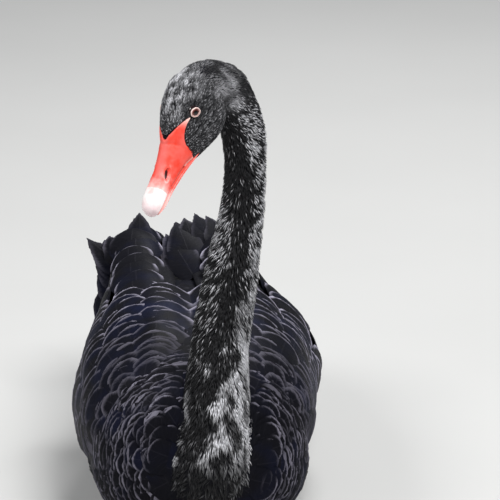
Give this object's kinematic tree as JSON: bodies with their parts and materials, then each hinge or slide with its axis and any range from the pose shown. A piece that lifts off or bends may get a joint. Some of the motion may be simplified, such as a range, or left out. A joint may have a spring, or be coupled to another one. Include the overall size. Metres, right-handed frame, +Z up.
{
  "type": "black swan",
  "caption": "Life-size still black swan resting on its belly, wings folded, neck raised in a hook and head turned to its right, bill pointing down.",
  "frame": {"origin": "middle of the flat of the belly, on the ground", "axes": "+Z up, -Y towards the breast, +X towards the bird's left side"},
  "size_m": [0.3082, 0.6804, 0.5769],
  "materials": {
    "black_feather": "soft black feather with a blue-grey sheen and paler fringes",
    "white_feather": "white flight feather",
    "red_bill": "coral red bill sheath, slightly glossy",
    "pale_bill": "ivory to pink bill nail",
    "pale_skin": "bare pale pink skin round the eye",
    "dark_eye": "wet dark red-brown eye",
    "dark_skin": "dark grey scaled skin of legs and webs"
  },
  "bodies": {
    "root": {"torso": "black_feather", "neck_base": "black_feather", "neck_middle": "black_feather", "neck_upper": "black_feather", "head": "black_feather", "bill_upper": "red_bill", "bill_tip": "pale_bill", "bill_lower": "red_bill", "eye_left": "dark_eye", "eye_right": "dark_eye", "eyelid_left": "pale_skin", "eyelid_right": "pale_skin", "wing_left": "black_feather", "wing_right": "black_feather", "tail": "black_feather", "leg_left": "dark_skin", "leg_right": "dark_skin", "foot_left": "dark_skin", "foot_right": "dark_skin"}
  },
  "joints": []
}
